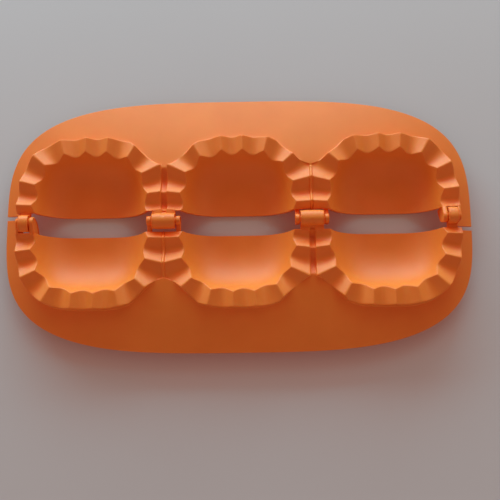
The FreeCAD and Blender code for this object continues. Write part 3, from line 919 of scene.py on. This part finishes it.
def plastic_material():
    """Satin orange polypropylene: faint clouding, a fine spark-eroded grain and uneven gloss."""
    material = bpy.data.materials.new("orange_plastic")
    material.use_nodes = True
    tree = material.node_tree
    shader = tree.nodes["Principled BSDF"]
    place = node(tree, "ShaderNodeTexCoord")
    clouding(tree, place, shader, scale=45, detail=4,
             stops=((0.3, (0.77, 0.212, 0.020, 1)), (0.7, (0.82, 0.236, 0.026, 1))))
    gloss = noise(tree, place, scale=420, detail=3)
    spread = node(tree, "ShaderNodeMapRange", To_Min=0.46, To_Max=0.58)
    tree.links.new(gloss.outputs["Fac"], spread.inputs["Value"])
    tree.links.new(spread.outputs["Result"], shader.inputs["Roughness"])
    grain = noise(tree, place, scale=2600, detail=2)
    bump = node(tree, "ShaderNodeBump", Strength=0.12, Distance=0.0001)
    tree.links.new(grain.outputs["Fac"], bump.inputs["Height"])
    tree.links.new(bump.outputs["Normal"], shader.inputs["Normal"])
    set_inputs(shader, Subsurface_Weight=0.4, Subsurface_Radius=(1.0, 0.4, 0.15),
               Subsurface_Scale=0.0007, IOR=1.49, Specular_IOR_Level=0.45)
    # The thin walls let some red light through, so the shadow under the press glows
    through = node(tree, "ShaderNodeBsdfTransparent", Color=(0.70, 0.12, 0.08, 1))
    surface = choice(tree, "Is Shadow Ray", shader.outputs["BSDF"], through.outputs["BSDF"])
    tree.links.new(surface, tree.nodes["Material Output"].inputs["Surface"])
    return material


def table_material():
    """Pale matt table top with barely visible clouding."""
    material = bpy.data.materials.new("pale_table")
    material.use_nodes = True
    tree = material.node_tree
    shader = tree.nodes["Principled BSDF"]
    clouding(tree, node(tree, "ShaderNodeTexCoord"), shader, scale=6, detail=5,
             stops=((0, (0.515, 0.55, 0.535, 1)), (1, (0.555, 0.59, 0.575, 1))))
    set_inputs(shader, Roughness=0.7, Specular_IOR_Level=0.25)
    return material


# ---------------------------------------------------------------- the press

BEVEL_SEGMENTS = 2
SHARP_ANGLE = math.radians(42)

plastic = plastic_material()
sheet = half_sheet()
pieces = []
for half in ("rear", "front"):
    body = f"{half}_half"
    cover = moulding(half, sheet)
    bevel = cover.modifiers.new("soft_border", "BEVEL")
    bevel.limit_method = "WEIGHT"
    bevel.width = EDGE_BEVEL * MM
    bevel.segments = BEVEL_SEGMENTS
    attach(cover, body)
    names = [f"{half}_{region}_{side}" for region in ("skirt", "pocket", "crimp")
             for side in ("left", "centre", "right")]
    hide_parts(*names, f"{half}_seal_groove")
    pieces.append(cover)
    for place, centre_x, width, lead in (("end", -END_HINGE, END_CLIP, LONG_LEAD),
                                         ("middle", -MIDLINE, MIDDLE_CLIP, SHORT_LEAD)):
        name = f"{half}_{place}_clip_moulded"
        pieces.append(clip_part(name, half, centre_x, width, lead, place == "middle"))
    for place, centre_x, width, lead in (("middle", MIDLINE, MIDDLE_CLIP, LONG_LEAD),
                                         ("end", END_HINGE, END_CLIP, SHORT_LEAD)):
        level = wave_level(START, lead)
        if place == "middle":
            inner = outer = middle_ear_outline(level)
            thickness = EAR_THICKNESS
        else:
            inner, outer = end_ear_outline(level), tongue_ear_outline(level)
            thickness = OUTER_EAR_THICKNESS
        reach = width / 2 + EAR_GAP
        start = centre_x - reach - EAR_THICKNESS
        name = f"{half}_{place}_inner_ear_moulded"
        pieces.append(ear_part(name, half, start, EAR_THICKNESS, inner))
        name = f"{half}_{place}_outer_ear_moulded"
        pieces.append(ear_part(name, half, centre_x + reach, thickness, outer))
        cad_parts[f"{half}_{place}_pin"].material_slots[0].material = plastic
    pieces.append(rib_part(f"{half}_seal_rib_moulded", half))

for obj in pieces:
    obj.data.materials.append(plastic)
    obj.data.shade_smooth()
    obj.data.set_sharp_from_angle(angle=SHARP_ANGLE)

# ---------------------------------------------------------------- table, light and camera

TABLE_REACH = 0.55
TABLE_LEVEL = -0.0002
corners = [(x * TABLE_REACH, y * TABLE_REACH, TABLE_LEVEL)
           for x, y in ((-1, -1), (1, -1), (1, 1), (-1, 1))]
table = new_object("table_top", corners, [[0, 1, 2, 3]])
table.data.materials.append(table_material())


def area_light(name, place, size, power, colour):
    """Rectangular light in metres and watts that faces the press and isn't seen itself."""
    light = bpy.data.lights.new(name, "AREA")
    light.shape = "RECTANGLE"
    light.size, light.size_y = size
    light.energy = power
    light.color = colour
    obj = bpy.data.objects.new(name, light)
    bpy.context.scene.collection.objects.link(obj)
    obj.visible_camera = False
    obj.location = place
    obj.rotation_euler = (-Vector(place)).to_track_quat("-Z", "Y").to_euler()


area_light("window", place=(-0.20, 1.02, 0.29), size=(1.5, 0.34), power=15.8,
           colour=(0.75, 1.0, 1.16))
area_light("upper_window", place=(0.36, 1.05, 0.62), size=(1.1, 0.7), power=3.0,
           colour=(0.68, 1.0, 1.12))

world = bpy.data.worlds.new("room")
bpy.context.scene.world = world
world.use_nodes = True
tree = world.node_tree
tree.nodes.clear()
# The room's warm light fades towards the zenith, which the photographer shades
direction = node(tree, "ShaderNodeTexCoord")
split = node(tree, "ShaderNodeSeparateXYZ")
shade = node(tree, "ShaderNodeMapRange", From_Min=0.76, From_Max=0.96, To_Min=0.57, To_Max=0.06)
soft = node(tree, "ShaderNodeBackground", Color=(1.0, 0.58, 0.48, 1))
tree.links.new(direction.outputs["Generated"], split.inputs["Vector"])
tree.links.new(split.outputs["Z"], shade.inputs["Value"])
tree.links.new(shade.outputs["Result"], soft.inputs["Strength"])
plain = node(tree, "ShaderNodeBackground", Color=(0.86, 0.86, 0.86, 1), Strength=1.0)
room = choice(tree, "Is Camera Ray", soft.outputs["Background"], plain.outputs["Background"])
tree.links.new(room, node(tree, "ShaderNodeOutputWorld").inputs["Surface"])

# The photograph's camera: high in front of the press, looking down and slightly back.
# Angles are in radians, the sensor in millimetres, and the clip start in metres.
TARGET = Vector((6.29, -16.53, AXIS_HEIGHT)) * MM
DISTANCE = 425.0 * MM
TILT = 0.18537
SWING = -0.01262
ROLL = -0.01242
FOCAL_PIXELS = 808.90
PHOTO_PIXELS = 500
SENSOR_WIDTH = 36
CLIP_START = 0.01

forward = Vector((math.sin(SWING),
                  math.sin(TILT) * math.cos(SWING),
                  -math.cos(TILT) * math.cos(SWING)))
forward.normalize()
right = forward.cross(Vector((0, 1, 0))).normalized()
up = right.cross(forward)
camera_right = right * math.cos(ROLL) + up * math.sin(ROLL)
camera_up = up * math.cos(ROLL) - right * math.sin(ROLL)
camera_data = bpy.data.cameras.new("camera")
camera_data.lens = FOCAL_PIXELS / PHOTO_PIXELS * SENSOR_WIDTH
camera_data.sensor_width = SENSOR_WIDTH
camera_data.clip_start = CLIP_START
camera = bpy.data.objects.new("camera", camera_data)
bpy.context.scene.collection.objects.link(camera)
axes = Matrix((camera_right, camera_up, -forward)).transposed().to_4x4()
camera.matrix_world = Matrix.Translation(TARGET - forward * DISTANCE) @ axes
bpy.context.scene.camera = camera
bpy.context.scene.view_settings.view_transform = "Standard"
